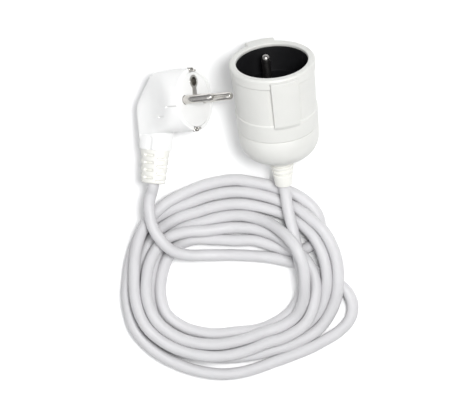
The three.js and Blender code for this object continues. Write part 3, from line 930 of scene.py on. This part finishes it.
def engrave(mesh, lines):
    """Sinks shallow lines into the two flanks of the hull."""
    for vert in mesh.vertices:
        x, y, z = vert.co
        if abs(z) < FLANK_START:
            continue
        sink = 0.0
        for (x0, y0), (x1, y1), half, depth in lines:
            t = ((x - x0) * (x1 - x0) + (y - y0) * (y1 - y0)) / ((x1 - x0) ** 2 + (y1 - y0) ** 2)
            t = min(max(t, 0), 1)
            off = math.hypot(x - x0 - t * (x1 - x0), y - y0 - t * (y1 - y0))
            sink = max(sink, depth * float(1 - smoothstep(off, half * 0.5, half * 1.9)))
        vert.co.z -= math.copysign(sink, z)


def plug_hull():
    hull = carve(hull_mesh(), [neck_mesh()], "UNION")
    scratch = add_object("scratch", hull)
    remesh = scratch.modifiers.new("remesh", "REMESH")
    remesh.mode = "VOXEL"
    remesh.voxel_size = 0.5
    relax = scratch.modifiers.new("relax", "SMOOTH")
    relax.factor = 0.5
    relax.iterations = 4
    mesh = evaluated(scratch)
    bpy.data.objects.remove(scratch)
    engrave(mesh, FLANK_LINES)
    mesh.transform(PLUG)
    pocket = rod_tool(INSERT_RADIUS + 0.12, -INSERT_DEPTH, 3, PLUG_AXIS, segments=128)
    slots = []
    for side in (-1, 1):
        middle, half = side * STRAP_SLOT_OFFSET, STRAP_WIDTH / 2 + 0.3
        slots.append(box_tool((-INSERT_DEPTH, middle - STRAP_SLOT_HALF_HEIGHT, -half),
                              (3, middle + STRAP_SLOT_HALF_HEIGHT, half), PLUG))
    mesh = carve(mesh, [pocket, *slots, *slot_tools()])
    return new_piece("plug_hull", mesh, WHITE_PLUG, replaces=("plug_body",))


def plug_insert():
    bottom = -INSERT_DEPTH + 0.4
    disc = turned("plug_insert", [
        (0, bottom), (INSERT_RADIUS, bottom), (INSERT_RADIUS, 0), (0, 0),
    ], PLUG_AXIS, radius=0.25, segments=128)
    back = -INSERT_DEPTH - 1
    tools = [rod_tool(PIN_RADIUS + 0.25, back, 1, PLUG_AXIS, (side * PIN_SPACING, 0, 0))
             for side in (-1, 1)]
    tools.append(rod_tool(EARTH_TUBE + 0.25, back, 1, PLUG_AXIS, (0, EARTH_OFFSET, 0)))
    return new_piece("plug_face", carve(disc, tools), WHITE_INSERT,
                     replaces=("plug_face_insert",))


def plug_pins():
    pins = []
    for name, side in (("plug_pin_live", 1), ("plug_pin_neutral", -1)):
        place = PLUG @ Matrix.Translation((0, 0, side * PIN_SPACING)) @ turn("Y", 90)
        mesh = round_ended_pin(name, -11, 19, PIN_RADIUS, place)
        pins.append(new_piece(name + "_turned", mesh, NICKEL, replaces=(name,)))
    return pins


def plug_earth():
    """Earth tube with a turned-out lip and the flat tab below it."""
    lip = EARTH_TUBE + EARTH_LIP
    tube = turned("earth_tube", [
        (EARTH_BORE, -18), (EARTH_TUBE, -18), (EARTH_TUBE, 0.15), (lip, 0.2), (lip, 0.5),
        (EARTH_BORE, 0.5),
    ], PLUG_AXIS @ Matrix.Translation((0, EARTH_OFFSET, 0)), radius=0.12, segments=64)
    tab = box_tool((0.12, EARTH_OFFSET - 9.2, -1.9), (0.5, EARTH_OFFSET - EARTH_TUBE - 0.2, 1.9),
                   PLUG)
    return new_piece("earth_tube", carve(tube, [tab], "UNION"), NICKEL,
                     replaces=("plug_earth_socket",))


def plug_clips():
    """Earth clips: a forked spring contact standing in a slot at the top and bottom of the face."""
    back = -INSERT_DEPTH + 0.3
    half = STRAP_WIDTH / 2
    meshes = []
    for side in (-1, 1):
        low, high = sorted((side * 15.7, side * 16.6))
        arm = box_tool((back, low, -half), (0.5, high, half), PLUG)
        notch = box_tool((-2.8, low - 1, -0.6), (1, high + 1, 0.6), PLUG)
        low, high = sorted((side * 16.0, side * 17.9))
        nose = box_tool((-1.9, low, -half + 1), (-0.5, high, half - 1), PLUG)
        meshes.append(carve(carve(arm, [nose], "UNION"), [notch]))
    bm = bmesh.new()
    for mesh in meshes:
        bm.from_mesh(mesh)
    joined = bpy.data.meshes.new("earth_clips")
    bm.to_mesh(joined)
    bm.free()
    piece = new_piece("earth_clips", joined, NICKEL, replaces=("plug_earth_strap",))
    return edge_rounding(piece, 0.15)


def relief_slots(angle, down):
    """How deep the staggered slots of the plug's strain relief are at a place on it."""
    sink = 0.0
    for row in range(RELIEF_ROWS):
        for column in range(RELIEF_COLUMNS):
            middle = math.radians(360 / RELIEF_COLUMNS * column + 30)
            drop = RELIEF_FIRST_SLOT + row * RELIEF_ROW_STEP
            if column not in (1, 4):
                drop += RELIEF_STAGGER
            off = (angle - middle + math.pi) % (2 * math.pi) - math.pi
            across = 1 - smoothstep(abs(off) * 7.2, 2.3, 2.9)
            along = 1 - smoothstep(abs(down - drop), 0.45, 0.85)
            sink = max(sink, 1.3 * float(across * along))
    return sink


def plug_relief():
    """Plug strain relief: a tapering oval sleeve with staggered rows of slots, round the cord."""
    around = 120
    ring_step = 0.25
    lean = math.radians(NECK_LEAN)
    start = neck_point(NECK_END)

    def oval(down, half_widths):
        """A ring round the leaning axis, with the half widths (along, across) of each point."""
        along = down - RELIEF_OVERLAP
        points = []
        for k, (half_u, half_v) in enumerate(half_widths):
            angle = 2 * math.pi * k / around
            u, v = half_u * math.cos(angle), half_v * math.sin(angle)
            points.append((start[0] + u * math.cos(lean) - along * math.sin(lean),
                           start[1] - u * math.sin(lean) - along * math.cos(lean), v))
        return points

    def outside(down, shrink=0.0):
        taper = 1 - RELIEF_TAPER * down / PLUG_RELIEF_LENGTH
        sinks = [relief_slots(2 * math.pi * k / around, down) for k in range(around)]
        return oval(down, [(RELIEF_HALF_ALONG * taper - sink - shrink,
                            RELIEF_HALF_ACROSS * taper - sink - shrink) for sink in sinks])

    def bore(down):
        return oval(down, [(CORD_RADIUS + 0.2, CORD_RADIUS + 0.2)] * around)

    rings = [bore(0.0), outside(0.0, 0.3)]
    for down in np.arange(ring_step, PLUG_RELIEF_LENGTH - 0.6, ring_step):
        rings.append(outside(down))
    rings.append(outside(PLUG_RELIEF_LENGTH - 0.3, 0.25))
    rings.append(outside(PLUG_RELIEF_LENGTH, 0.8))
    rings.append(bore(PLUG_RELIEF_LENGTH))
    bm = grid_bmesh(rings, closed_rings=True)
    return new_piece("plug_relief", smooth_mesh(bm, "plug_relief", PLUG, 60), CREAM_FLEX,
                     replaces=("plug_strain_relief",))


# ---------------------------------------------------------------- inner parts kept from the CAD

KEPT = {
    "shutter_rotor": WHITE_INSERT, "shutter_pivot": STEEL, "shutter_spring": STEEL,
    "contact_base": WHITE_INSERT, "live_contact": BRASS, "neutral_contact": BRASS,
    "earth_strap": BRASS, "core_live": CORE_BROWN, "core_neutral": CORE_BLUE,
    "core_earth": CORE_EARTH, "cord_grip": WHITE_INSERT, "grip_screw_left": STEEL,
    "grip_screw_right": STEEL, "plug_core_live": CORE_BROWN, "plug_core_neutral": CORE_BLUE,
    "plug_core_earth": CORE_EARTH,
}


def finish_kept():
    for name, material in KEPT.items():
        coat_with(NODES[name].data, material)


# ---------------------------------------------------------------- floor

FLOOR_DROP = 0.00005    # below the object, so that they never share a face
FLOOR_HALF = 6


def add_floor():
    paint = Paint("floor", 0.8, specular=0.15)
    cloud = paint.noise(paint.coordinates(), 3, detail=4)
    fine = paint.noise(paint.coordinates(), 700, detail=3)
    paint.colours(cloud, (0.955, 0.955, 0.955), (0.97, 0.97, 0.97))
    paint.bump([(fine, 0.00001)])
    bm = bmesh.new()
    bmesh.ops.create_grid(bm, x_segments=8, y_segments=8, size=FLOOR_HALF)
    mesh = bpy.data.meshes.new("floor")
    bm.to_mesh(mesh)
    bm.free()
    mesh.materials.append(paint.material)
    floor = add_object("floor", mesh)
    floor.location = (0, 0, -FLOOR_DROP)


# ---------------------------------------------------------------- scene

add_camera()
add_world(0.5)
add_light("key", (0.5, 0.3, 1.35), 0.45, 17.5)
add_light("fill", (-0.6, -0.5, 1.4), 1.4, 4.5)
add_floor()
bpy.context.scene.view_settings.view_transform = "Standard"

finish_kept()
socket_barrel()
socket_rear()
recess_insert()
earth_pin()
socket_relief()
plug_pieces = [plug_hull(), plug_insert(), *plug_pins(), plug_earth(), plug_clips(), plug_relief()]
add_cord()
